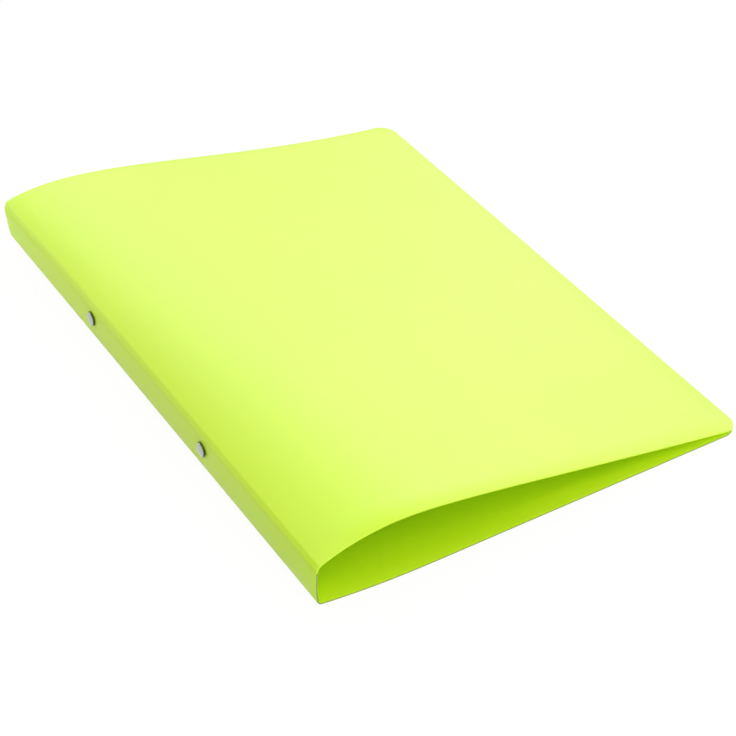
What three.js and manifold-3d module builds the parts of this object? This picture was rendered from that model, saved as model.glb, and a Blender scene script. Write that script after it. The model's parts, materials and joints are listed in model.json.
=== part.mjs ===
// Two-ring binder: a creased plastic cover in three panels, and the ring mechanism riveted inside its spine.
// Millimetres, +Z up. It lies closed on its back cover, with the spine towards -X and its length along Y.
// While it is built, x = 0 is the outer face of the spine at its creases and z = 0 is the table.

import * as THREE from "three";
import { mergeVertices } from "three/addons/utils/BufferGeometryUtils.js";
import Module from "manifold-3d";

// Cover sheet
const coverLength = 318;
const coverWidth = 241;
const sheetThickness = 0.8;
const spineHeight = 22.6;
const spineBulge = 1.3;
const creaseLift = 4.1;
const liftRun = 62;
const foreCornerRadius = 9.5;
const hingeGap = 0.3;
const closedGap = 0.3;

// Bow of the front cover at its two ends: crest above the crease, and the angles of its two edges
const nearBow = {
  crestRise: 8.6,
  crestRun: 40,
  creaseAngle: 27,
  creaseHandle: 14,
  crestHandleBack: 12,
  crestHandleOn: 28,
  foreAngle: 10,
  foreHandle: 120,
};
const farBow = {
  crestRise: 3.9,
  crestRun: 28,
  creaseAngle: 18,
  creaseHandle: 10,
  crestHandleBack: 8,
  crestHandleOn: 48,
  foreAngle: 4,
  foreHandle: 97,
};

// Ring mechanism
const ringSpacing = 80;
const ringBore = 16;
const wireDiameter = 2.6;
const neckOffset = 4.4;
const neckBendRadius = 2;
const neckClearance = 0.3;
const lapLength = 1.6;
const lapGap = 0.3;
const tenonDiameter = 1.5;
const tenonClearance = 0.3;
const stakeThickness = 0.35;
const stakeLip = 0.45;
const stakeGap = 0.15;
const shoulderGap = 0.15;

const archThickness = 0.5;
const archHalfWidth = 6.6;
const archRise = 2.93;
const archBodyLength = 94;
const archRampLength = 6;
const archLength = 128;
const archSeatWidth = 11;
const archGap = 0.3;
const curlClearance = 0.32;
const lipLength = 0.5;

const bladeThickness = 0.8;
const bladeLength = 91;
const bladeGap = 0.4;
const bladeTilt = 5;
const openingAngle = 10;
const toothReach = 0.9;
const toothLength = 8;
const toothClearance = 0.3;

// Rivets
const rivetSpacing = 114.5;
const rivetHeight = 17.5;
const rivetHeadDiameter = 7.6;
const rivetHeadRise = 1.2;
const rivetRimHeight = 0.7;
const rivetEdgeRound = 0.25;
const rivetShankDiameter = 3.8;
const rivetHoleClearance = 0.3;
const rivetFlareDiameter = 6.2;
const rivetFlareThickness = 0.7;
const rivetBoreDiameter = 2.2;
const rivetGap = 0.2;

// Facets
const noseFacets = 6;
const wireFacets = 12;
const roundFacets = 32;

const colours = { sheet: 0xd8f565, steel: 0xc9ccd0 };

const wasm = await Module();
wasm.setup();

const radians = THREE.MathUtils.degToRad;

// Solids and meshes

function toSolid(geometry) {
  const bare = geometry.clone();
  bare.deleteAttribute("normal");
  bare.deleteAttribute("uv");
  const merged = mergeVertices(bare, 1e-5);
  return new wasm.Manifold(new wasm.Mesh({
    numProp: 3,
    vertProperties: new Float32Array(merged.attributes.position.array),
    triVerts: new Uint32Array(merged.index.array),
  }));
}

function toGeometry(solid) {
  const mesh = solid.getMesh();
  const geometry = new THREE.BufferGeometry();
  geometry.setAttribute("position", new THREE.BufferAttribute(mesh.vertProperties, 3));
  geometry.setIndex(new THREE.BufferAttribute(mesh.triVerts, 1));
  geometry.computeVertexNormals();
  return geometry;
}

// A section in the XZ plane, given as [x, z] points, run along Y between two places.
function alongY(section, yLow, yHigh) {
  const shape = new THREE.Shape(section.map(([x, z]) => new THREE.Vector2(x, z)));
  const geometry = new THREE.ExtrudeGeometry(shape, { depth: yHigh - yLow, bevelEnabled: false });
  geometry.rotateX(Math.PI / 2);
  geometry.translate(0, yHigh, 0);
  return toSolid(geometry);
}

function blockOf(low, high) {
  const size = high.map((value, axis) => value - low[axis]);
  const middle = high.map((value, axis) => (value + low[axis]) / 2);
  return toSolid(new THREE.BoxGeometry(...size).translate(...middle));
}

function pinAlongX(radius, xLow, xHigh, y, z) {
  const geometry = new THREE.CylinderGeometry(radius, radius, xHigh - xLow, roundFacets);
  geometry.rotateZ(Math.PI / 2);
  geometry.translate((xLow + xHigh) / 2, y, z);
  return toSolid(geometry);
}

// Joins loops of matching 3-D points into one closed skin. The flat outline gives the two end caps.
function loft(loops, outline) {
  const count = loops[0].length;
  const positions = loops.flat(2);
  const index = [];
  for (let row = 0; row < loops.length - 1; row++) {
    for (let i = 0; i < count; i++) {
      const a = row * count + i;
      const b = row * count + (i + 1) % count;
      index.push(a, b, b + count, a, b + count, a + count);
    }
  }
  const cap = THREE.ShapeUtils.triangulateShape(outline.map(([u, v]) => new THREE.Vector2(u, v)), []);
  const last = (loops.length - 1) * count;
  for (const [a, b, c] of cap) {
    index.push(a, c, b, last + a, last + b, last + c);
  }
  const geometry = new THREE.BufferGeometry();
  geometry.setAttribute("position", new THREE.Float32BufferAttribute(positions, 3));
  geometry.setIndex(index);
  return toSolid(geometry);
}

// The outline of a sheet that follows a centre line, with a rounded or a square end at each side.
function sheetSection(centreLine, thickness, roundStart, roundEnd) {
  const half = thickness / 2;
  const angleAt = (i) => {
    const from = centreLine[Math.max(i - 1, 0)];
    const to = centreLine[Math.min(i + 1, centreLine.length - 1)];
    return Math.atan2(to[1] - from[1], to[0] - from[0]);
  };
  const offset = (i, turn) => {
    const angle = angleAt(i) + turn;
    return [centreLine[i][0] + half * Math.cos(angle), centreLine[i][1] + half * Math.sin(angle)];
  };
  const last = centreLine.length - 1;
  const under = centreLine.map((point, i) => offset(i, -Math.PI / 2));
  const over = centreLine.map((point, i) => offset(i, Math.PI / 2)).reverse();
  const nose = (i, from) => Array.from({ length: noseFacets - 1 }, (unused, step) =>
    offset(i, from + Math.PI * (step + 1) / noseFacets));
  return [
    ...under,
    ...(roundEnd ? nose(last, -Math.PI / 2) : []),
    ...over,
    ...(roundStart ? nose(0, Math.PI / 2) : []),
  ];
}

function samplePath(curves, divisions) {
  const points = curves.flatMap((curve, i) => curve.getPoints(divisions[i]).slice(i === 0 ? 0 : 1));
  return points.map((point) => [point.x, point.y]);
}

// Cover

const hingeX = sheetThickness / 2;
const lowerHingeZ = creaseLift + sheetThickness / 2;
const upperHingeZ = lowerHingeZ + spineHeight;
const panelStart = sheetThickness + hingeGap;
const foreEdgeZ = sheetThickness + closedGap + sheetThickness / 2;
const farEnd = coverLength / 2;
const nearEnd = -farEnd;

// The plan of a cover panel: its two fore corners are rounded.
function coverPlan() {
  const behind = -2 * spineHeight;
  const r = foreCornerRadius;
  const plan = new THREE.Shape();
  plan.moveTo(behind, nearEnd);
  plan.lineTo(coverWidth - r, nearEnd);
  plan.absarc(coverWidth - r, nearEnd + r, r, -Math.PI / 2, 0);
  plan.lineTo(coverWidth, farEnd - r);
  plan.absarc(coverWidth - r, farEnd - r, r, 0, Math.PI / 2);
  plan.lineTo(behind, farEnd);
  const tall = 4 * (upperHingeZ + nearBow.crestRise + farBow.crestRise);
  const geometry = new THREE.ExtrudeGeometry(plan, { depth: tall, bevelEnabled: false, curveSegments: 10 });
  return toSolid(geometry.translate(0, 0, -tall / 2));
}

// From the lower crease the back cover comes down to the table in a shallow curve, and then lies flat.
function backCover() {
  const tableZ = sheetThickness / 2;
  const rise = new THREE.QuadraticBezierCurve(
    new THREE.Vector2(hingeX, lowerHingeZ),
    new THREE.Vector2((hingeX + liftRun) / 2, tableZ),
    new THREE.Vector2(liftRun, tableZ),
  );
  const flat = new THREE.LineCurve(new THREE.Vector2(liftRun, tableZ), new THREE.Vector2(coverWidth, tableZ));
  const section = sheetSection(samplePath([rise, flat], [14, 1]), sheetThickness, true, false);
  return alongY(section, nearEnd, farEnd).intersect(coverPlan());
}

// One end profile of the front cover: up from the crease to a crest, then down to the fore edge.
function bowLine(bow) {
  const at = (x, z) => new THREE.Vector2(x, z);
  const crestX = hingeX + bow.crestRun;
  const crestZ = upperHingeZ + bow.crestRise;
  const crease = radians(bow.creaseAngle);
  const fore = radians(bow.foreAngle);
  const climb = new THREE.CubicBezierCurve(
    at(hingeX, upperHingeZ),
    at(hingeX + bow.creaseHandle * Math.cos(crease), upperHingeZ + bow.creaseHandle * Math.sin(crease)),
    at(crestX - bow.crestHandleBack, crestZ),
    at(crestX, crestZ),
  );
  const descent = new THREE.CubicBezierCurve(
    at(crestX, crestZ),
    at(crestX + bow.crestHandleOn, crestZ),
    at(coverWidth - bow.foreHandle * Math.cos(fore), foreEdgeZ + bow.foreHandle * Math.sin(fore)),
    at(coverWidth, foreEdgeZ),
  );
  return samplePath([climb, descent], [9, 14]);
}

function frontCover() {
  const rows = 8;
  const near = sheetSection(bowLine(nearBow), sheetThickness, true, false);
  const far = sheetSection(bowLine(farBow), sheetThickness, true, false);
  const loops = [];
  for (let row = 0; row <= rows; row++) {
    const share = 1 - row / rows;
    const y = nearEnd + share * coverLength;
    loops.push(near.map(([x, z], i) =>
      [x + share * (far[i][0] - x), y, z + share * (far[i][1] - z)]));
  }
  return loft(loops, near).intersect(coverPlan());
}

// The spine panel bulges outwards between its two creases. Its centre line is a shallow arc.
const spineMiddleZ = (lowerHingeZ + upperHingeZ) / 2;
const spineArcRadius = (spineHeight ** 2 / 4 + spineBulge ** 2) / (2 * spineBulge);
const spineArcX = hingeX - spineBulge + spineArcRadius;
const spineFaceX = (z, radius) => spineArcX - Math.sqrt(radius ** 2 - (z - spineMiddleZ) ** 2);
const spineInnerX = (z) => spineFaceX(z, spineArcRadius - sheetThickness / 2);
const spineOuterX = (z) => spineFaceX(z, spineArcRadius + sheetThickness / 2);

function spinePanel() {
  const steps = 12;
  const reach = Math.asin(spineHeight / 2 / spineArcRadius) - panelStart / spineArcRadius;
  const line = [];
  for (let step = 0; step <= steps; step++) {
    const angle = reach * (2 * step / steps - 1);
    line.push([
      spineArcX - spineArcRadius * Math.cos(angle),
      spineMiddleZ + spineArcRadius * Math.sin(angle),
    ]);
  }
  let panel = alongY(sheetSection(line, sheetThickness, true, true), nearEnd, farEnd);
  for (const y of rivetPlaces) {
    panel = panel.subtract(rivetHole(y));
  }
  return panel;
}

// The rivets pass through the same holes in the spine panel and in the arch.
const rivetPlaces = [-rivetSpacing / 2, rivetSpacing / 2];
const rivetHole = (y) =>
  pinAlongX(rivetShankDiameter / 2 + rivetHoleClearance, -spineHeight, spineHeight, y, rivetHeight);

// Mechanism. Its sections are drawn as [x, z] points, with z counted from the rivets' height.

// How far out a piece that reaches this far above and below the rivets has to stand, to clear the spine.
const clearOfSpine = (reach) =>
  archGap + Math.max(spineInnerX(rivetHeight + reach), spineInnerX(rivetHeight - reach));

const ringPlaces = [-ringSpacing / 2, ringSpacing / 2];
const curlRadius = bladeThickness / 2 + curlClearance + archThickness / 2;
const archReach = archHalfWidth + curlRadius + archThickness / 2;
const pivotX = clearOfSpine(archReach) + curlRadius + archThickness / 2;
const seatReach = archSeatWidth / 2;
const seatX = clearOfSpine(seatReach);
const archApexX = pivotX + archRise;
const archRadius = (archRise ** 2 + archHalfWidth ** 2 - curlRadius ** 2) / (2 * (archRise - curlRadius));
const archCentreX = archApexX - archRadius;
const archSpread = Math.asin(archHalfWidth / (archRadius - curlRadius));

// The domed part of the arch's centre line, from its lower curl to its upper one.
function domeLine() {
  const steps = 14;
  return Array.from({ length: steps + 1 }, (unused, step) => {
    const angle = archSpread * (2 * step / steps - 1);
    return [archCentreX + archRadius * Math.cos(angle), archRadius * Math.sin(angle)];
  });
}

// One curled edge: round the blade's edge and back under it, ending in a short lip.
function curlLine(side) {
  const steps = 7;
  const line = [];
  for (let step = 1; step <= steps; step++) {
    const angle = archSpread + (Math.PI - archSpread) * step / steps;
    line.push([
      pivotX + curlRadius * Math.cos(angle),
      side * (archHalfWidth + curlRadius * Math.sin(angle)),
    ]);
  }
  line.push([pivotX - curlRadius, side * (archHalfWidth - lipLength)]);
  return line;
}

const atRivets = ([x, z]) => [x, z + rivetHeight];

// The end of the arch comes down from the dome to a flat seat on the spine.
function archEnd(end) {
  const dome = domeLine();
  const section = sheetSection(dome, archThickness, false, false);
  const outerCount = dome.length;
  const rampStart = archBodyLength / 2;
  const rampEnd = rampStart + archRampLength;
  const stations = [0, 0.2, 0.4, 0.6, 0.8, 1].map((share) => [share, rampStart + share * archRampLength]);
  stations.push([1, archLength / 2]);
  const loops = stations.map(([share, distance]) => {
    const ease = share * share * (3 - 2 * share);
    const narrow = 1 - ease * (1 - seatReach / archHalfWidth);
    return section.map(([x, z], i) => {
      const flatX = i < outerCount ? seatX + archThickness : seatX;
      return [x + ease * (flatX - x), end * distance, rivetHeight + z * narrow];
    });
  });
  const solid = loft(end > 0 ? loops.reverse() : loops, section);
  const plan = new THREE.Shape();
  plan.moveTo(-archReach, rampStart - archThickness);
  plan.lineTo(archReach, rampStart - archThickness);
  plan.lineTo(archReach, rampEnd);
  plan.lineTo(seatReach, rampEnd);
  plan.absarc(0, archLength / 2 - seatReach, seatReach, 0, Math.PI);
  plan.lineTo(-seatReach, rampEnd);
  plan.lineTo(-archReach, rampEnd);
  const tall = 2 * spineHeight;
  const cutter = new THREE.ExtrudeGeometry(plan, { depth: tall, bevelEnabled: false, curveSegments: 16 });
  cutter.translate(0, 0, -tall / 2);
  cutter.rotateY(Math.PI / 2);
  if (end < 0) {
    cutter.rotateX(Math.PI);
  }
  cutter.translate(0, 0, rivetHeight);
  return solid.intersect(toSolid(cutter));
}

// The slot lets a ring's neck swing outwards with its blade.
function neckSlot(side, y) {
  const roomy = wireDiameter / 2 + neckClearance;
  const swing = (archApexX - pivotX) * Math.sin(radians(openingAngle));
  const low = neckOffset - roomy;
  const high = neckOffset + swing + roomy;
  const slot = new THREE.Shape();
  slot.absarc(0, low + roomy, roomy, Math.PI, 2 * Math.PI);
  slot.absarc(0, high - roomy, roomy, 0, Math.PI);
  const depth = archRise + curlRadius;
  const geometry = new THREE.ExtrudeGeometry(slot, { depth, bevelEnabled: false, curveSegments: 8 });
  // The slot's outline stands across the arch and its depth runs along +X.
  geometry.applyMatrix4(new THREE.Matrix4().set(
    0, 0, 1, pivotX,
    1, 0, 0, y,
    0, 1, 0, 0,
    0, 0, 0, 1,
  ));
  const solid = toSolid(geometry);
  return (side > 0 ? solid : solid.mirror([0, 0, 1])).translate([0, 0, rivetHeight]);
}

function ringArch() {
  const line = [...curlLine(-1).reverse(), ...domeLine(), ...curlLine(1)];
  const section = sheetSection(line, archThickness, false, false).map(atRivets);
  let arch = alongY(section, -archBodyLength / 2, archBodyLength / 2);
  for (const end of [-1, 1]) {
    arch = arch.add(archEnd(end));
  }
  for (const y of rivetPlaces) {
    arch = arch.subtract(rivetHole(y));
  }
  for (const y of ringPlaces) {
    arch = arch.subtract(neckSlot(1, y)).subtract(neckSlot(-1, y));
  }
  return arch;
}

// A point of a blade, given by its distance from the pivot towards the middle and its height over the
// blade's middle plane. The blade leans towards the spine while the rings are closed.
function bladePoint(side, along, over) {
  const tilt = radians(bladeTilt);
  const x = pivotX - along * Math.sin(tilt) + over * Math.cos(tilt);
  const z = archHalfWidth - along * Math.cos(tilt) - over * Math.sin(tilt);
  return [x, rivetHeight + side * z];
}

const bladeReach = (archHalfWidth - bladeGap / 2) / Math.cos(radians(bladeTilt));
const neckAlong = (archHalfWidth - neckOffset) / Math.cos(radians(bladeTilt));

// Teeth on the middle edge of each blade stand in notches of the other one.
function toothBlocks(side, grow) {
  const places = side > 0 ? [-1.5, 0.5] : [-0.5, 1.5];
  const half = bladeThickness / 2 + (grow > 0 ? bladeThickness : 0);
  return places.map((place) => {
    const middle = place * (toothLength + toothClearance);
    const from = bladeReach - bladeThickness;
    const to = bladeReach + toothReach + grow;
    const section = [[from, -half], [to, -half], [to, half], [from, half]]
      .map(([along, over]) => bladePoint(side, along, over));
    return alongY(section, middle - toothLength / 2 - grow, middle + toothLength / 2 + grow);
  });
}

function blade(side) {
  const line = [[0, 0], [bladeReach, 0]].map(([along, over]) => bladePoint(side, along, over));
  let plate = alongY(sheetSection(line, bladeThickness, true, false), -bladeLength / 2, bladeLength / 2);
  for (const tooth of toothBlocks(side, 0)) {
    plate = plate.add(tooth);
  }
  for (const notch of toothBlocks(-side, toothClearance)) {
    plate = plate.subtract(notch);
  }
  const holeRadius = tenonDiameter / 2 + tenonClearance;
  const [holeX, holeZ] = bladePoint(side, neckAlong, 0);
  for (const y of ringPlaces) {
    plate = plate.subtract(pinAlongX(holeRadius, holeX - wireDiameter, holeX + wireDiameter, y, holeZ));
  }
  return plate;
}

// Half rings. The neck stands straight up out of the blade, bends outwards and runs into the ring's circle.
const wireRadius = wireDiameter / 2;
const ringRadius = (ringBore + wireDiameter) / 2;
const neckTopX = archApexX + archThickness / 2;
const bendAcross = neckOffset + neckBendRadius;
const ringCentreX = neckTopX + Math.sqrt((ringRadius + neckBendRadius) ** 2 - bendAcross ** 2);
const bendTurn = Math.acos(bendAcross / (ringRadius + neckBendRadius));

function halfRing(side, y) {
  const [bladeX] = bladePoint(side, neckAlong, 0);
  const lean = radians(bladeTilt);
  const bladeHalf = bladeThickness / 2 / Math.cos(lean) + tenonDiameter * Math.sin(lean);
  const shoulderX = bladeX + bladeHalf + shoulderGap;
  const stations = [{ x: shoulderX, z: neckOffset, heading: 0 }];
  const bendSteps = 5;
  for (let step = 0; step <= bendSteps; step++) {
    const turn = bendTurn * step / bendSteps;
    stations.push({
      x: neckTopX + neckBendRadius * Math.sin(turn),
      z: bendAcross - neckBendRadius * Math.cos(turn),
      heading: turn,
    });
  }
  const ringSteps = 22;
  const start = bendTurn - Math.PI / 2;
  const finish = Math.PI / 2 + lapLength / 2 / ringRadius;
  for (let step = 1; step <= ringSteps; step++) {
    const angle = start + (finish - start) * step / ringSteps;
    stations.push({
      x: ringCentreX + ringRadius * Math.sin(angle),
      z: ringRadius * Math.cos(angle),
      heading: -angle,
    });
  }
  const circle = Array.from({ length: wireFacets }, (unused, i) => 2 * Math.PI * (i + 0.5) / wireFacets);
  const outline = circle.map((angle) => [wireRadius * Math.cos(angle), wireRadius * Math.sin(angle)]);
  const loops = stations.map(({ x, z, heading }) => outline.map(([across, along]) => [
    x - across * Math.sin(heading),
    y + along,
    rivetHeight + side * (z + across * Math.cos(heading)),
  ]));
  let ring = loft(side > 0 ? loops.reverse() : loops, outline);

  // Only one half of the wire, in its width, goes on past the middle to lap the other tip.
  const tipX = ringCentreX + ringRadius - wireDiameter;
  const cutZ = [-lapLength, lapLength / 2 + lapGap].map((z) => rivetHeight + side * z).sort((a, b) => a - b);
  const cutY = side > 0 ? [y - lapGap / 2, y + wireDiameter] : [y - wireDiameter, y + lapGap / 2];
  ring = ring.subtract(blockOf([tipX, cutY[0], cutZ[0]], [tipX + 2 * wireDiameter, cutY[1], cutZ[1]]));

  // The tenon goes through the blade and is staked over beneath it.
  const neckZ = rivetHeight + side * neckOffset;
  const stakeTop = bladeX - bladeHalf - stakeGap;
  const tenon = pinAlongX(tenonDiameter / 2, stakeTop - stakeThickness, shoulderX + wireRadius, y, neckZ);
  const stakeRadius = tenonDiameter / 2 + stakeLip;
  return ring.add(tenon).add(pinAlongX(stakeRadius, stakeTop - stakeThickness, stakeTop, y, neckZ));
}

// Rivets: a domed head outside the spine, a tubular shank and a rolled flare on the arch's seat.
function rivet(y) {
  const headUnder = spineOuterX(spineMiddleZ) - rivetGap;
  const flareUnder = seatX + archThickness + rivetGap;
  const shank = rivetShankDiameter / 2;
  const head = rivetHeadDiameter / 2;
  const flare = rivetFlareDiameter / 2;
  const bore = rivetBoreDiameter / 2;
  const flareEnd = -flareUnder - rivetFlareThickness;
  const domeSteps = 6;
  const dome = Array.from({ length: domeSteps + 1 }, (unused, step) => {
    const share = step / domeSteps;
    const drop = (rivetHeadRise - rivetRimHeight) * share ** 2;
    return [(head - rivetEdgeRound) * share, -headUnder + rivetHeadRise - drop];
  });
  const profile = [
    ...dome,
    [head, -headUnder + rivetRimHeight - rivetEdgeRound],
    [head, -headUnder],
    [shank, -headUnder],
    [shank, -flareUnder],
    [flare - rivetEdgeRound, -flareUnder],
    [flare, (-flareUnder + flareEnd) / 2],
    [flare - rivetEdgeRound, flareEnd],
    [bore + rivetEdgeRound, flareEnd],
    [bore, flareEnd + rivetEdgeRound],
    [bore, -headUnder - rivetGap],
    [0, -headUnder - rivetGap],
  ];
  const points = profile.reverse().map(([radius, height]) => new THREE.Vector2(radius, height));
  const geometry = new THREE.LatheGeometry(points, roundFacets);
  geometry.rotateZ(Math.PI / 2);
  geometry.translate(0, y, rivetHeight);
  return geometry;
}

// Assembly

const plastic = () => new THREE.MeshStandardMaterial({ color: colours.sheet, roughness: 0.45, metalness: 0 });
const nickel = () => new THREE.MeshStandardMaterial({ color: colours.steel, roughness: 0.25, metalness: 1 });

const binder = new THREE.Group();

function place(name, geometry, material) {
  const mesh = new THREE.Mesh(geometry, material);
  mesh.name = name;
  binder.add(mesh);
}

place("back_cover", toGeometry(backCover()), plastic());
place("spine_panel", toGeometry(spinePanel()), plastic());
place("front_cover", toGeometry(frontCover()), plastic());
place("ring_arch", toGeometry(ringArch()), nickel());
for (const [side, level] of [[1, "upper"], [-1, "lower"]]) {
  place(`${level}_blade`, toGeometry(blade(side)), nickel());
  for (const [i, end] of ["near", "far"].entries()) {
    place(`${level}_half_ring_${end}`, toGeometry(halfRing(side, ringPlaces[i])), nickel());
  }
}
for (const [i, end] of ["near", "far"].entries()) {
  place(`rivet_${end}`, rivet(rivetPlaces[i]), nickel());
}

// The origin is under the middle of the whole binder, on the table.
const extent = new THREE.Box3().setFromObject(binder);
binder.position.x = -(extent.min.x + extent.max.x) / 2;
binder.updateMatrixWorld(true);

export default binder;
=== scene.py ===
import json
from math import atan2, cos, degrees, pi, radians, sin

import bpy
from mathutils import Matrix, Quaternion, Vector


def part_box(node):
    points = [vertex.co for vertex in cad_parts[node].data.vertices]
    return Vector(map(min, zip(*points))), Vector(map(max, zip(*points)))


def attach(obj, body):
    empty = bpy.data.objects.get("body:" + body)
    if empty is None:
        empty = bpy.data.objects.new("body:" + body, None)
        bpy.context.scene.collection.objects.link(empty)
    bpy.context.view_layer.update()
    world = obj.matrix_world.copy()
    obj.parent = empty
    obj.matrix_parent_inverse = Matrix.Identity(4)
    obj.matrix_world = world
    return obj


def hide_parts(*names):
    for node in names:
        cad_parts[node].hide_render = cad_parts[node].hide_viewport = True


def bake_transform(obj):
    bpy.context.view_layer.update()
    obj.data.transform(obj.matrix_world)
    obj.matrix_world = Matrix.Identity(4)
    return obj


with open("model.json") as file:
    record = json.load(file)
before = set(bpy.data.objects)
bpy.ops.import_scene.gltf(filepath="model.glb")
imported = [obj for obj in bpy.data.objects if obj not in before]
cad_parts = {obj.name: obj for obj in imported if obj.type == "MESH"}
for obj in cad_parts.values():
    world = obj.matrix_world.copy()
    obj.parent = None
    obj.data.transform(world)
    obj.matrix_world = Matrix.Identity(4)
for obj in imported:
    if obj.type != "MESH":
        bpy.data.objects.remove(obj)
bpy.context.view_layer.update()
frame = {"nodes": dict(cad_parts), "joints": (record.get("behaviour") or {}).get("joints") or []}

# The view. The closed binder lies on a table with its spine towards the front left corner,
# and is seen from above that side, from about a metre away.
view_yaw = radians(-33.885)
view_pitch = radians(38.827)
view_roll = radians(2.449)
view_target = Vector((-0.01685, -0.03749, 0.0100))
view_distance = 0.96094
view_lens = 95.19
view_film_width = 36
view_back = Vector((sin(view_yaw) * cos(view_pitch), -cos(view_yaw) * cos(view_pitch), sin(view_pitch)))
bpy.ops.object.camera_add(location=view_target + view_back * view_distance)
camera = bpy.context.object
camera.rotation_mode = "QUATERNION"
camera.rotation_quaternion = view_back.to_track_quat("Z", "Y") @ Quaternion((0, 0, 1), view_roll)
camera.data.lens = view_lens
camera.data.sensor_width = view_film_width
bpy.context.scene.camera = camera

# The table and the light. A white table runs out to a white room. Two wide soft boxes stand behind
# and to the right of the binder, and smaller ones in front, overhead and at both ends. The room's
# even light fills the rest.
bpy.context.scene.view_settings.view_transform = "Standard"
white_strength = 1
room_strength = 0.40
table_side = 8
table_drop = 0.0002
table_paint = (0.8, 0.8, 0.8)
table_glow = 1.03
table_glow_share = 0.92


def any_ray(tree, *kinds):
    """Light Path's mask for the rays of any of these kinds."""
    path = tree.nodes.new("ShaderNodeLightPath")
    mask = path.outputs[kinds[0]]
    for kind in kinds[1:]:
        either = tree.nodes.new("ShaderNodeMath")
        either.operation = "MAXIMUM"
        tree.links.new(mask, either.inputs[0])
        tree.links.new(path.outputs[kind], either.inputs[1])
        mask = either.outputs[0]
    return mask


world = bpy.data.worlds.new("white_room")
bpy.context.scene.world = world
world.use_nodes = True
tree = world.node_tree
background = tree.nodes["Background"]
background.inputs["Color"].default_value = (1, 1, 1, 1)
strength = tree.nodes.new("ShaderNodeMapRange")
strength.inputs["To Min"].default_value = room_strength
strength.inputs["To Max"].default_value = white_strength
room_seen = any_ray(tree, "Is Camera Ray", "Is Glossy Ray", "Is Transmission Ray")
tree.links.new(room_seen, strength.inputs["Value"])
tree.links.new(strength.outputs["Result"], background.inputs["Strength"])

bpy.ops.mesh.primitive_plane_add(size=table_side, location=(0, 0, -table_drop))
table = bpy.context.object
table.name = "table"
white_table = bpy.data.materials.new("white_table")
white_table.use_nodes = True
tree = white_table.node_tree
tree.nodes.clear()
paint = tree.nodes.new("ShaderNodeBsdfDiffuse")
paint.inputs["Color"].default_value = (*table_paint, 1)
glow = tree.nodes.new("ShaderNodeEmission")
glow.inputs["Strength"].default_value = table_glow
glow_share = tree.nodes.new("ShaderNodeMath")
glow_share.operation = "MULTIPLY_ADD"
tree.links.new(any_ray(tree, "Is Camera Ray"), glow_share.inputs[0])
glow_share.inputs[1].default_value = table_glow_share
tree.links.new(any_ray(tree, "Is Glossy Ray", "Is Transmission Ray"), glow_share.inputs[2])
top_side = tree.nodes.new("ShaderNodeMixShader")
tree.links.new(glow_share.outputs[0], top_side.inputs[0])
tree.links.new(paint.outputs[0], top_side.inputs[1])
tree.links.new(glow.outputs[0], top_side.inputs[2])
facing = tree.nodes.new("ShaderNodeNewGeometry")
clear = tree.nodes.new("ShaderNodeBsdfTransparent")
both_sides = tree.nodes.new("ShaderNodeMixShader")
tree.links.new(facing.outputs["Backfacing"], both_sides.inputs[0])
tree.links.new(top_side.outputs[0], both_sides.inputs[1])
tree.links.new(clear.outputs[0], both_sides.inputs[2])
output = tree.nodes.new("ShaderNodeOutputMaterial")
tree.links.new(both_sides.outputs[0], output.inputs["Surface"])
table.data.materials.append(white_table)


def soft_box(name, direction, distance, width, height, radiance):
    """A soft box that faces the binder from one direction, as bright as its radiance says."""
    outwards = Vector(direction).normalized()
    bpy.ops.object.light_add(type="AREA", location=outwards * distance)
    lamp = bpy.context.object
    lamp.name = name
    lamp.rotation_euler = outwards.to_track_quat("Z", "Y").to_euler()
    lamp.visible_camera = False
    lamp.data.shape = "RECTANGLE"
    lamp.data.size = width
    lamp.data.size_y = height
    lamp.data.energy = radiance * pi * width * height


soft_box("wide_box_behind", (0.36, 0.74, 0.57), distance=2.0, width=1.8, height=0.9, radiance=2.9)
soft_box("wide_box_right", (0.85, 0.35, 0.40), distance=2.0, width=1.6, height=0.9, radiance=2.45)
soft_box("box_in_front", (-0.28, -0.60, 0.75), distance=1.2, width=0.5, height=0.5, radiance=4.2)
soft_box("box_overhead", (-0.34, 0.15, 0.93), distance=1.5, width=0.8, height=0.8, radiance=1.2)
soft_box("low_box_at_near_end", (0.15, -0.95, 0.26), distance=1.2, width=0.8, height=0.3, radiance=6.0)
soft_box("box_at_far_end", (-0.62, 0.76, 0.20), distance=0.55, width=0.25, height=0.25, radiance=1.9)


# The cover. It is one die-cut sheet of lime polypropylene, 0.8 mm thick. Two pressed creases part it
# into a flat back cover, a slightly bulging spine and a front cover that bows over the rings.
def joint_place(name):
    """Where a joint of the frame lies."""
    return Vector(next(joint["pos_m"] for joint in frame["joints"] if joint["name"] == name))


sheet_thickness = 0.0008
corner_radius = 0.0095
cut_edge_round = 0.00012
slanted_edge_room = 0.00007
cover_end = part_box("back_cover")[1].y - slanted_edge_room / 3
fore_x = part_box("back_cover")[1].x - slanted_edge_room
low_hinge = joint_place("spine_hinge")
high_hinge = joint_place("front_hinge")
crease_side_depth = 0.001
crease_side_x = low_hinge.x + crease_side_depth
flat_z = sheet_thickness / 2
front_fore_z = 0.0013
lift_run = 0.062
spine_bulge = 0.0013
low_bend = 0.0020
low_score_share = 0.115
shoulder_out = 0.00132
shoulder_heading = 64
score_turn = 1
crease_reach = 0.0005
lean_start = 0.7
low_lean = Vector((0.0003, 0, -0.0005))
high_lean = Vector((-0.00125, 0, 0.0004))

# Where the cover's shape changes along the spine, a size is given for its near and its far end.
shoulder_drop = (0.0033, 0.0050)
crease_heading = (27, 18)
crest_run = (0.040, 0.028)
crest_rise = (0.0086, 0.0039)
fore_slope = (10, 4)

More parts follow.
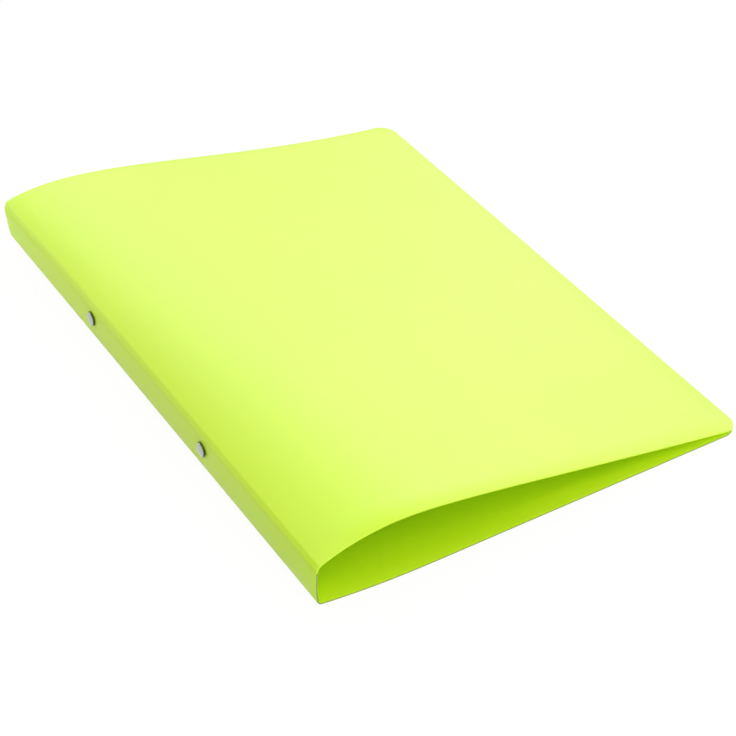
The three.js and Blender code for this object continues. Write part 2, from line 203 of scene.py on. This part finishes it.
# The handles of the profile's knots: the longer they are, the straighter the sheet leaves a knot.
end_handle = 0.01
back_handle = 0.05
lift_handle = lift_run / 3
bend_handle = low_bend * 0.62
low_score_handle = 0.0002
low_spine_handle = 0.0028
high_spine_handle = 0.0024
high_score_handle = 0.0020
shoulder_start_share = 0.45
shoulder_end_share = 0.3
crease_handle = crease_reach * 0.6
front_start_handle = (0.0137, 0.0097)
crest_rear_handle = (0.012, 0.008)
crest_fore_handle = (0.028, 0.048)
front_fore_handle = (0.120, 0.097)


def between(near, far, share):
    """A value part of the way from the near end to the far end of the cover."""
    return near + (far - near) * share


def step(heading, length):
    """A step in the x-z plane, at a heading in degrees above the x direction."""
    return Vector((cos(radians(heading)) * length, 0, sin(radians(heading)) * length))


def knot(point, heading, before, after):
    """A knot of a profile, passed at a heading, with the lengths of its two handles."""
    return point - step(heading, before), point, point + step(heading, after)


def share_at(y):
    """How far along the cover a place is: 0 at the near end, 1 at the far end."""
    return (y + cover_end) / (2 * cover_end)


def creases(y):
    """The lower and the upper crease at one y. Towards the far end the spine leans outwards."""
    lean = (max(share_at(y) - lean_start, 0) / (1 - lean_start)) ** 2
    return low_hinge + low_lean * lean, high_hinge + high_lean * lean


def on_spine(y, share):
    """A point of the bulging spine part of the way up between the creases, and its heading there."""
    low, high = creases(y)
    chord = high - low
    outwards = Vector((-chord.z, 0, chord.x)).normalized()
    point = low + chord * share + outwards * 4 * spine_bulge * share * (1 - share)
    turn = atan2(4 * spine_bulge * (1 - 2 * share), chord.length)
    return point, degrees(atan2(chord.z, chord.x) + turn)


def high_score(y):
    """The pressed score line under the upper crease."""
    return creases(y)[1] + Vector((-shoulder_out, 0, -between(*shoulder_drop, share_at(y))))


def cover_profile(y):
    """The sheet across one y, from the back cover's fore edge round the spine to the front cover's."""
    share = share_at(y)
    low, high = creases(y)
    lift = degrees(atan2(low.z - flat_z, lift_run / 2))
    bend_top, bend_heading = on_spine(y, low_bend / (high - low).length)
    low_score, low_heading = on_spine(y, low_score_share)
    middle, middle_heading = on_spine(y, 0.5)
    score = high_score(y)
    shoulder = (high - score).length
    rise = between(*crease_heading, share)
    crest = high + Vector((between(*crest_run, share), 0, between(*crest_rise, share)))
    return (
        knot(Vector((fore_x, 0, flat_z)), 180, end_handle, back_handle),
        knot(Vector((low_hinge.x + lift_run, 0, flat_z)), 180, back_handle, lift_handle),
        knot(low + step(-lift, low_bend), 180 - lift, lift_handle, bend_handle),
        knot(bend_top, bend_heading, bend_handle, low_score_handle),
        knot(low_score, low_heading, low_score_handle, low_spine_handle),
        knot(middle, middle_heading, low_spine_handle, high_spine_handle),
        knot(score, middle_heading - score_turn, high_score_handle, shoulder * shoulder_start_share),
        knot(high - step(shoulder_heading, crease_reach), shoulder_heading,
             shoulder * shoulder_end_share, crease_handle),
        knot(high + step(rise, crease_reach), rise, crease_handle, between(*front_start_handle, share)),
        knot(crest, 0, between(*crest_rear_handle, share), between(*crest_fore_handle, share)),
        knot(Vector((fore_x, 0, front_fore_z)), -between(*fore_slope, share),
             between(*front_fore_handle, share), end_handle),
    )


def draw_profile(name, knots, y, steps):
    """Draw a profile at one y as a Bezier curve, and turn it into a line of vertices."""
    bpy.ops.object.select_all(action="DESELECT")
    bpy.ops.curve.primitive_bezier_curve_add()
    curve = bpy.context.object
    curve.name = name
    curve.data.resolution_u = steps
    points = curve.data.splines[0].bezier_points
    points.add(len(knots) - 2)
    for point, places in zip(points, knots):
        point.handle_left_type = "FREE"
        point.handle_right_type = "FREE"
        for part, place in zip(("handle_left", "co", "handle_right"), places):
            setattr(point, part, (place.x, y, place.z))
    bpy.ops.object.convert(target="MESH")
    return bpy.context.object


def select_only(*pieces):
    """Leave only these pieces selected, and make the first one active."""
    bpy.ops.object.select_all(action="DESELECT")
    for piece in pieces:
        piece.select_set(True)
    bpy.context.view_layer.objects.active = pieces[0]


def face_outwards(piece):
    """Turn all the faces of a closed piece outwards."""
    select_only(piece)
    bpy.ops.object.mode_set(mode="EDIT")
    bpy.ops.mesh.select_all(action="SELECT")
    bpy.ops.mesh.normals_make_consistent(inside=False)
    bpy.ops.object.mode_set(mode="OBJECT")


profile_shares = (0, 0.35, lean_start, 0.8, 0.9, 1)
profile_steps = 20
cuts_between_profiles = 9
corner_cuts = 12
stations = [between(-cover_end, cover_end, share) for share in profile_shares]
lines = [draw_profile("cover_line", cover_profile(y), y, profile_steps) for y in stations]
select_only(*lines)
bpy.ops.object.join()
cover = bpy.context.object
cover.name = "cover"
bpy.ops.object.mode_set(mode="EDIT")
bpy.ops.mesh.select_all(action="SELECT")
bpy.ops.mesh.bridge_edge_loops(number_cuts=cuts_between_profiles, interpolation="LINEAR")
for end in (-1, 1):
    centre = Vector((fore_x - corner_radius, end * (cover_end - corner_radius), 0))
    for cut in range(corner_cuts):
        angle = (cut + 0.5) / corner_cuts * pi / 2
        outwards = Vector((cos(angle), end * sin(angle), 0))
        bpy.ops.mesh.select_all(action="SELECT")
        bpy.ops.mesh.bisect(plane_co=centre + outwards * corner_radius, plane_no=outwards, clear_outer=True)
bpy.ops.mesh.select_all(action="DESELECT")
bpy.ops.object.mode_set(mode="OBJECT")

# The three panels are parted along the score lines, and the spine panel follows the spine's body.
for face in cover.data.polygons:
    middle = face.center
    low_z = on_spine(middle.y, low_score_share)[0].z
    face.select = middle.x < crease_side_x and low_z < middle.z < high_score(middle.y).z
bpy.ops.object.mode_set(mode="EDIT")
bpy.ops.mesh.separate(type="SELECTED")
bpy.ops.object.mode_set(mode="OBJECT")
spine_sheet = next(o for o in bpy.context.selected_objects if o != cover)
select_only(cover)
bpy.ops.object.mode_set(mode="EDIT")
bpy.ops.mesh.separate(type="LOOSE")
bpy.ops.object.mode_set(mode="OBJECT")
panels = list(bpy.context.selected_objects)
back_sheet, front_sheet = sorted(panels, key=lambda o: max(v.co.z for v in o.data.vertices))
for piece, name in ((back_sheet, "back_sheet"), (spine_sheet, "spine_sheet"), (front_sheet, "front_sheet")):
    piece.name = name


def add_node(tree, kind, **settings):
    """Add one shader node, with its settings by name."""
    node = tree.nodes.new("ShaderNode" + kind)
    for name, value in settings.items():
        setattr(node, name, value)
    return node


def surface_group(name, **scales):
    """A node group that takes a scale for each of its masks, with its input and its output node."""
    group = bpy.data.node_groups.new(name, "ShaderNodeTree")
    for mask, scale in scales.items():
        socket_name = mask + " per metre"
        socket = group.interface.new_socket(socket_name, in_out="INPUT", socket_type="NodeSocketFloat")
        socket.default_value = scale
        group.interface.new_socket(mask, in_out="OUTPUT", socket_type="NodeSocketFloat")
    return group, group.nodes.new("NodeGroupInput"), group.nodes.new("NodeGroupOutput")


def add_noise(group, entry, leave, mask, detail, vector):
    """Add the noise that a group puts out as one of its masks."""
    noise = add_node(group, "TexNoise")
    noise.inputs["Detail"].default_value = detail
    group.links.new(vector, noise.inputs["Vector"])
    group.links.new(entry.outputs[mask + " per metre"], noise.inputs["Scale"])
    group.links.new(noise.outputs["Fac"], leave.inputs[mask])


def rolled_sheet_group():
    """The sheet's rolled surface: a fine matt grain as a height, and slow cloudiness as a mask."""
    group, entry, leave = surface_group("rolled_sheet_surface", Grain=2200.0, Clouds=14.0)
    place = add_node(group, "TexCoord").outputs["Object"]
    add_noise(group, entry, leave, "Grain", detail=3, vector=place)
    add_noise(group, entry, leave, "Clouds", detail=4, vector=place)
    return group


def patterned_material(name, surface, tone, texture, dark, light, roughness, gloss_spread,
                       bump_depth, bump_strength):
    """A material whose colour follows its surface's tone, and its gloss and bumps the texture."""
    material = bpy.data.materials.new(name)
    material.use_nodes = True
    tree = material.node_tree
    shader = tree.nodes["Principled BSDF"]
    pattern = add_node(tree, "Group", node_tree=surface)
    colour = add_node(tree, "Mix", data_type="RGBA")
    colour.inputs["A"].default_value = (*dark, 1)
    colour.inputs["B"].default_value = (*light, 1)
    tree.links.new(pattern.outputs[tone], colour.inputs["Factor"])
    tree.links.new(colour.outputs["Result"], shader.inputs["Base Color"])
    gloss = add_node(tree, "MapRange")
    gloss.inputs["To Min"].default_value = roughness - gloss_spread
    gloss.inputs["To Max"].default_value = roughness + gloss_spread
    tree.links.new(pattern.outputs[texture], gloss.inputs["Value"])
    tree.links.new(gloss.outputs["Result"], shader.inputs["Roughness"])
    bump = add_node(tree, "Bump")
    bump.inputs["Distance"].default_value = bump_depth
    bump.inputs["Strength"].default_value = bump_strength
    tree.links.new(pattern.outputs[texture], bump.inputs["Height"])
    tree.links.new(bump.outputs["Normal"], shader.inputs["Normal"])
    return material, shader


rolled_sheet_surface = rolled_sheet_group()
polypropylene_ior = 1.49
polypropylene_gloss_level = 0.8
light_let_in = 0.75
light_reach_by_colour = (1, 1, 0.3)


def polypropylene(name, dark, light, roughness, grain_depth):
    """Matt polypropylene: light passes into it, its colour is slightly cloudy, and it has a fine grain."""
    material, plastic = patterned_material(
        name, rolled_sheet_surface, "Clouds", "Grain", dark, light, roughness,
        gloss_spread=0.04, bump_depth=grain_depth, bump_strength=0.6)
    plastic.inputs["IOR"].default_value = polypropylene_ior
    plastic.inputs["Specular IOR Level"].default_value = polypropylene_gloss_level
    plastic.inputs["Subsurface Weight"].default_value = light_let_in
    plastic.inputs["Subsurface Radius"].default_value = light_reach_by_colour
    plastic.inputs["Subsurface Scale"].default_value = sheet_thickness
    return material


# The front cover's cut edge is nearly as bright as its face. The other cut edges are coloured darker as
# painted shade, where they face down out of the light.
lime_face = polypropylene("lime_polypropylene", (0.60, 0.86, 0.003), (0.65, 0.89, 0.008), 0.45, 0.00004)
lime_cut = polypropylene("lime_cut_edge", (0.54, 0.80, 0.006), (0.62, 0.87, 0.014), 0.60, 0.00006)
shaded_cut_edge = polypropylene("lime_cut_edge_painted_shade", (0.24, 0.31, 0.030), (0.32, 0.41, 0.050), 0.65, 0.00006)

rivet_hole_radius = 0.0022
rivet_hole_sides = 48
punch_length = 0.01
rim_angle = 50
panel_smooth_angle = 35
least_end_facing = 0.5


def punch(panel, place):
    """Punch a round hole through a panel, along x."""
    bpy.ops.mesh.primitive_cylinder_add(
        vertices=rivet_hole_sides, radius=rivet_hole_radius, depth=punch_length,
        location=place, rotation=(0, pi / 2, 0))
    tool = bpy.context.object
    hole = panel.modifiers.new("hole", "BOOLEAN")
    hole.operation = "DIFFERENCE"
    hole.object = tool
    select_only(panel)
    bpy.ops.object.modifier_apply(modifier=hole.name)
    bpy.data.objects.remove(tool)


for panel in (back_sheet, spine_sheet, front_sheet):
    select_only(panel)
    panel.data.materials.append(lime_face)
    # The back and spine panels' cut edges take the darker painted-shade colour.
    panel.data.materials.append(lime_cut if panel == front_sheet else shaded_cut_edge)
    wall = panel.modifiers.new("wall", "SOLIDIFY")
    wall.thickness = sheet_thickness
    wall.offset = 0
    wall.use_even_offset = True
    wall.material_offset_rim = 1
    bpy.ops.object.modifier_apply(modifier=wall.name)
    # The sheet isn't cut at its score lines, so the rims there keep the plastic of its faces.
    for face in panel.data.polygons:
        if face.center.x < crease_side_x and abs(face.normal.y) < least_end_facing:
            face.material_index = 0
    if panel == spine_sheet:
        for rivet in ("rivet_near", "rivet_far"):
            low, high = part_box(rivet)
            punch(panel, (low + high) / 2)
    rims = panel.modifiers.new("rims", "BEVEL")
    rims.limit_method = "ANGLE"
    rims.angle_limit = radians(rim_angle)
    rims.width = cut_edge_round
    rims.segments = 2
    bpy.ops.object.modifier_apply(modifier=rims.name)
    face_outwards(panel)
    bpy.ops.object.shade_smooth_by_angle(angle=radians(panel_smooth_angle))

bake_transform(back_sheet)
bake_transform(front_sheet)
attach(spine_sheet, "spine")
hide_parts("back_cover")
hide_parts("spine_panel")
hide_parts("front_cover")


# The arch and the blades. Each is pressed from a strip of nickel-plated spring steel. The blades'
# outer edges lie in the arch's curled edges, and their toothed inner edges meet along the middle.
line_squeeze = (1, 0.02, 1)


def plated_group():
    """Plated metal: slow changes of tone, and fine lines that run along y as the strip was rolled."""
    group, entry, leave = surface_group("plated_surface", Tone=300.0, Lines=3500.0)
    place = add_node(group, "TexCoord").outputs["Object"]
    drawn_out = add_node(group, "Mapping")
    drawn_out.inputs["Scale"].default_value = line_squeeze
    group.links.new(place, drawn_out.inputs["Vector"])
    add_noise(group, entry, leave, "Tone", detail=4, vector=place)
    add_noise(group, entry, leave, "Lines", detail=3, vector=drawn_out.outputs["Vector"])
    return group


plated_surface = plated_group()


def nickel(name, dark, light, roughness, line_depth):
    """Nickel plating: its tone drifts slowly, and its gloss follows the fine lines of the metal."""
    material, metal = patterned_material(
        name, plated_surface, "Tone", "Lines", dark, light, roughness,
        gloss_spread=0.07, bump_depth=line_depth, bump_strength=0.5)
    metal.inputs["Metallic"].default_value = 1
    return material


merge_distance = 1e-6
flat_angle = 0.5


def clean_copy(name, node):
    """A copy of a node with its loose triangles merged, and its flat places made single faces."""
    piece = bpy.data.objects.new(name, frame["nodes"][node].data.copy())
    bpy.context.collection.objects.link(piece)
    piece.data.materials.clear()
    select_only(piece)
    bpy.ops.object.mode_set(mode="EDIT")
    bpy.ops.mesh.select_all(action="SELECT")
    bpy.ops.mesh.remove_doubles(threshold=merge_distance)
    bpy.ops.mesh.dissolve_limited(angle_limit=radians(flat_angle))
    bpy.ops.object.mode_set(mode="OBJECT")
    return piece


strip_nickel = nickel("strip_nickel", (0.50, 0.49, 0.46), (0.62, 0.61, 0.58), 0.26, 0.000006)
pressed_edge_round = 0.00010
pressed_edge_angle = 40
pressing_smooth_angle = 38
for node, body in (("ring_arch", "spine"), ("upper_blade", "upper_jaw"), ("lower_blade", "lower_jaw")):
    pressing = clean_copy(node + "_pressing", node)
    rounding = pressing.modifiers.new("rounding", "BEVEL")
    rounding.limit_method = "ANGLE"
    rounding.angle_limit = radians(pressed_edge_angle)
    rounding.width = pressed_edge_round
    rounding.segments = 2
    bpy.ops.object.modifier_apply(modifier=rounding.name)
    bpy.ops.object.shade_smooth_by_angle(angle=radians(pressing_smooth_angle))
    pressing.data.materials.append(strip_nickel)
    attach(pressing, body)
    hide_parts(node)

# The half rings. Each is bent from bright nickel-plated wire, 2.6 mm thick. Its foot is staked into
# its blade, and its tip is halved to lap the tip that it meets.
wire_nickel = nickel("wire_nickel", (0.56, 0.55, 0.53), (0.70, 0.69, 0.67), 0.16, 0.000003)
wire_crease_angle = 45
wire_crease = 0.85
for side in ("upper", "lower"):
    for end in ("near", "far"):
        node = side + "_half_ring_" + end
        wire = clean_copy(node + "_wire", node)
        bpy.ops.object.mode_set(mode="EDIT")
        bpy.ops.mesh.select_all(action="DESELECT")
        bpy.ops.mesh.select_mode(type="EDGE")
        bpy.ops.mesh.edges_select_sharp(sharpness=radians(wire_crease_angle))
        bpy.ops.transform.edge_crease(value=wire_crease)
        bpy.ops.object.mode_set(mode="OBJECT")
        rounder = wire.modifiers.new("rounder", "SUBSURF")
        rounder.levels = 1
        rounder.render_levels = 1
        bpy.ops.object.modifier_apply(modifier=rounder.name)
        bpy.ops.object.shade_smooth_by_angle(angle=radians(wire_crease_angle))
        wire.data.materials.append(wire_nickel)
        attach(wire, side + "_jaw")
        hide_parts(node)

# The rivets. Each is a nickel-plated tube with a closed, nearly flat head outside the spine. Its
# other end is rolled over the arch's seat.
rivet_z = (joint_place("upper_jaw_pivot").z + joint_place("lower_jaw_pivot").z) / 2
head_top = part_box("rivet_near")[0].x
head_radius = 0.0038
head_rise = 0.0012
head_under = head_top + head_rise
head_middle_handle = 0.0012
head_dip = 0.00012
head_dip_share = 0.80
head_dip_heading = 84
head_dip_handles = (0.0011, 0.00020)
head_brow = 0.00032
head_brow_share = 0.90
head_brow_heading = 30
head_brow_handles = (0.00014, 0.00012)
head_waist = 0.00035
head_waist_heading = 8
head_waist_handles = (0.00030, 0.00020)
foot_radius = 0.0034
foot_heading = -70
foot_handle = 0.00020
shank_radius = 0.0019
flare_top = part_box("rivet_near")[1].x
flare_radius = 0.0031
flare_handle = 0.0003
flare_top_share = 0.72
flare_top_handle = 0.0004
flare_thickness = 0.0007
flare_under = flare_top - flare_thickness
bore_radius = 0.0011
bore_lip = 0.0006
bore_lip_handle = 0.0003
bore_floor = 0.0002
bore_end = head_under + bore_floor
rivet_profile_steps = 6
profile_merge_distance = 1e-7
rivet_turns = 64
rivet_smooth_angle = 40
# The rivet's nickel is tinted darker and greenish: a painted reflection of the lime spine around it.
rivet_nickel = nickel("rivet_nickel", (0.34, 0.40, 0.32), (0.44, 0.50, 0.41), 0.13, 0.000002)
# The head's rim is coloured dark green: painted shade at its foot and a painted reflection of the lime
# spine beside it.
rivet_rim_painted_shade = nickel("rivet_rim_painted_shade_and_reflection", (0.04, 0.060, 0.02), (0.08, 0.11, 0.04), 0.30, 0.000006)


def rivet_place(radius, x):
    """A point of the rivet's profile, by its distance from the axis."""
    return Vector((x, 0, rivet_z + radius))


def corner(radius, x):
    """A sharp corner of the rivet's profile."""
    return (rivet_place(radius, x),) * 3


def rivet_profile():
    """Half of the rivet's section, from the middle of its head to the bottom of its bore."""
    head_dip_place = rivet_place(head_radius * head_dip_share, head_top + head_dip)
    head_brow_place = rivet_place(head_radius * head_brow_share, head_top + head_brow)
    head_waist_place = rivet_place(head_radius, head_under - head_waist)
    flare_place = rivet_place(flare_radius, flare_top - flare_thickness / 2)
    flare_top_place = rivet_place(flare_radius * flare_top_share, flare_top)
    return (
        knot(rivet_place(0, head_top), 90, 0, head_middle_handle),
        knot(head_dip_place, head_dip_heading, *head_dip_handles),
        knot(head_brow_place, head_brow_heading, *head_brow_handles),
        knot(head_waist_place, head_waist_heading, *head_waist_handles),
        knot(rivet_place(foot_radius, head_under), foot_heading, foot_handle, 0),
        corner(shank_radius, head_under),
        corner(shank_radius, flare_under),
        knot(flare_place, 0, flare_handle, flare_handle),
        knot(flare_top_place, -90, flare_top_handle, flare_top_handle),
        knot(rivet_place(bore_radius, flare_top - bore_lip), 180, bore_lip_handle, 0),
        corner(bore_radius, bore_end),
        corner(0, bore_end),
    )


def turn_rivet():
    """Turn the rivet's profile about its axis, at y = 0."""
    piece = draw_profile("rivet_pattern", rivet_profile(), 0, rivet_profile_steps)
    bpy.ops.object.mode_set(mode="EDIT")
    bpy.ops.mesh.select_all(action="SELECT")
    bpy.ops.mesh.remove_doubles(threshold=profile_merge_distance)
    bpy.ops.mesh.spin(steps=rivet_turns, angle=2 * pi, center=(0, 0, rivet_z), axis=(1, 0, 0))
    bpy.ops.mesh.select_all(action="SELECT")
    bpy.ops.mesh.remove_doubles(threshold=merge_distance)
    bpy.ops.mesh.normals_make_consistent(inside=False)
    bpy.ops.object.mode_set(mode="OBJECT")
    bpy.ops.object.shade_smooth_by_angle(angle=radians(rivet_smooth_angle))
    piece.data.materials.append(rivet_nickel)
    piece.data.materials.append(rivet_rim_painted_shade)
    for face in piece.data.polygons:
        # The rim's side wall, from the brow down to the foot, takes the painted shade and reflection
        # colour.
        on_painted_shade_rim = head_top + head_brow < face.center.x < head_under
        out = Vector((0, face.center.y, face.center.z - rivet_z)).length
        face.material_index = int(on_painted_shade_rim and out > shank_radius)
    return piece


near_rivet = turn_rivet()
far_rivet = near_rivet.copy()
far_rivet.data = near_rivet.data.copy()
bpy.context.collection.objects.link(far_rivet)
for piece, end in ((near_rivet, "near"), (far_rivet, "far")):
    low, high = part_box("rivet_" + end)
    piece.name = "rivet_" + end + "_turned"
    piece.location.y = (low.y + high.y) / 2
    select_only(piece)
    bpy.ops.object.transform_apply(location=True, rotation=False, scale=False)
    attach(piece, "spine")
    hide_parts("rivet_" + end)
